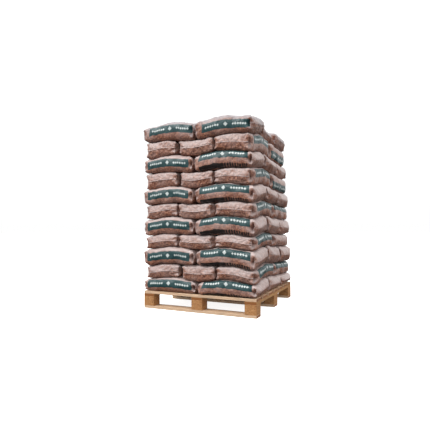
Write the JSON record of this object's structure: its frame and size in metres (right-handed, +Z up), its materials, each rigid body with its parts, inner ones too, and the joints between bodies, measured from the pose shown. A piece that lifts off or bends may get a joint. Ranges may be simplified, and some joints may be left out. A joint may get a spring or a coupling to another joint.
{
  "type": "pallet of sacks",
  "caption": "Square wooden block pallet stacked high with crossed layers of filled plastic film sacks of wood pellets.",
  "frame": {"origin": "middle of the pallet's underside, on the lower face of the middle runner", "axes": "+X along the front from left to right, +Y from front to back, +Z up"},
  "size_m": [1.024, 1.024, 1.5795],
  "materials": {
    "board_wood": "rough sawn",
    "block_wood": "rough sawn",
    "sack_film": "satin film"
  },
  "bodies": {
    "root": {"block_back_left": "block_wood", "block_back_middle": "block_wood", "block_back_right": "block_wood", "block_front_left": "block_wood", "block_front_middle": "block_wood", "block_front_right": "block_wood", "block_middle_left": "block_wood", "block_middle_middle": "block_wood", "block_middle_right": "block_wood", "deck_board_1": "board_wood", "deck_board_2": "board_wood", "deck_board_3": "board_wood", "deck_board_4": "board_wood", "deck_board_5": "board_wood", "deck_board_6": "board_wood", "deck_board_7": "board_wood", "runner_back": "board_wood", "runner_front": "board_wood", "runner_middle": "board_wood", "sack_layer_01": "sack_film", "sack_layer_02": "sack_film", "sack_layer_03": "sack_film", "sack_layer_04": "sack_film", "sack_layer_05": "sack_film", "sack_layer_06": "sack_film", "sack_layer_07": "sack_film", "sack_layer_08": "sack_film", "sack_layer_09": "sack_film", "sack_layer_10": "sack_film", "sack_layer_11": "sack_film", "stringer_left": "board_wood", "stringer_middle": "board_wood", "stringer_right": "board_wood"}
  },
  "joints": []
}
